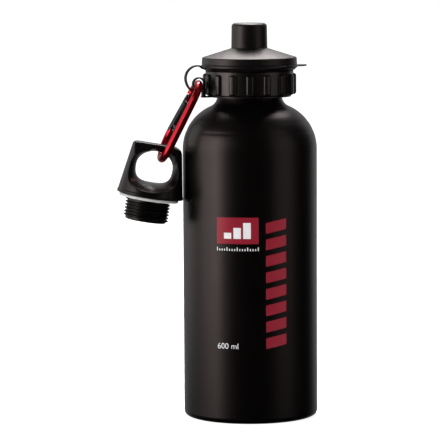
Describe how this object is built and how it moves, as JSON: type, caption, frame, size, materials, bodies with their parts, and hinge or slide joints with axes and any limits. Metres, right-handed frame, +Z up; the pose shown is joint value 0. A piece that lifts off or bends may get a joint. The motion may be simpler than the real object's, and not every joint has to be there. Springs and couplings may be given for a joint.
{
  "type": "sport water bottle",
  "caption": "Slim coated metal drinking bottle with a push-pull sport cap, a tethered dust cap, a small carabiner and a spare loop-top screw stopper.",
  "frame": {"origin": "on the bottle's axis, at the level of the flat ring that the bottle stands on; the recessed panel inside that ring lies 0.8 mm above the origin", "axes": "+Z up the bottle's axis, +X to the right as the pictured side is seen, and that side faces -Y; the tether, carabiner and stopper hang on the -X side"},
  "size_m": [0.1086, 0.073, 0.2142],
  "materials": {
    "black_coat": "satin powder coat",
    "bare_steel": "satin",
    "gloss_black_plastic": "gloss",
    "soft_black_plastic": "semi-gloss",
    "nozzle_plastic": "satin",
    "grey_rubber": "matte",
    "red_anodised": "bright anodised",
    "black_anodised": "satin anodised"
  },
  "bodies": {
    "bottle": {"bottle_shell": "black_coat", "neck_thread_ring": "bare_steel"},
    "cap_carrier": {"cap_seal": "grey_rubber"},
    "sport_cap": {"sport_cap_body": "gloss_black_plastic"},
    "nozzle": {"spout_nozzle": "nozzle_plastic"},
    "tether": {"tether_ring": "soft_black_plastic", "tether_strap": "soft_black_plastic"},
    "dust_cap": {"dust_cap": "soft_black_plastic"},
    "carabiner": {"carabiner_frame": "red_anodised"},
    "gate": {"gate_body": "black_anodised", "gate_hinge_pin": "bare_steel", "gate_latch_pin": "bare_steel", "gate_spring": "bare_steel", "gate_plunger": "bare_steel"},
    "stopper": {"stopper_body": "gloss_black_plastic", "stopper_seal": "grey_rubber"}
  },
  "joints": [
    {"name": "cap_lift", "type": "slide", "parent": "bottle", "child": "cap_carrier", "axis": [0, 0, 1], "range_m": [0, 0.00963]},
    {"name": "cap_turn", "type": "hinge", "parent": "cap_carrier", "child": "sport_cap", "pos_m": [0, 0, 0.18], "axis": [0, 0, 1], "range_deg": [0, 1980]},
    {"name": "nozzle_pull", "type": "slide", "parent": "sport_cap", "child": "nozzle", "axis": [0, 0, 1], "range_m": [0, 0.005]},
    {"name": "ring_swivel", "type": "hinge", "parent": "cap_carrier", "child": "tether", "pos_m": [0, 0, 0.1749], "axis": [0, 0, 1], "continuous": true},
    {"name": "dust_cap_flip", "type": "hinge", "parent": "tether", "child": "dust_cap", "pos_m": [-0.02439, -0.00985, 0.1889], "axis": [0.3746, -0.9272, 0], "range_deg": [0, 120], "deforming": ["tether_strap"]},
    {"name": "carabiner_swing", "type": "hinge", "parent": "tether", "child": "carabiner", "pos_m": [-0.02749, -0.01111, 0.1819], "axis": [-0.1318, 0.989, 0.0669], "range_deg": [0, 60]},
    {"name": "gate_swing", "type": "hinge", "parent": "carabiner", "child": "gate", "pos_m": [-0.03324, -0.0026, 0.17338], "axis": [-0.882, -0.1478, 0.4475], "range_deg": [0, 25], "stiffness_Nm_per_rad": 0.02, "springref_deg": -5.73},
    {"name": "stopper_swing", "type": "hinge", "parent": "carabiner", "child": "stopper", "pos_m": [-0.04794, -0.01111, 0.14159], "axis": [-0.1318, 0.989, 0.0669], "range_deg": [0, 35]}
  ],
  "couplings": [
    {"joint": "cap_lift", "follows": "cap_turn", "m_per_rad": 0.00027852}
  ]
}
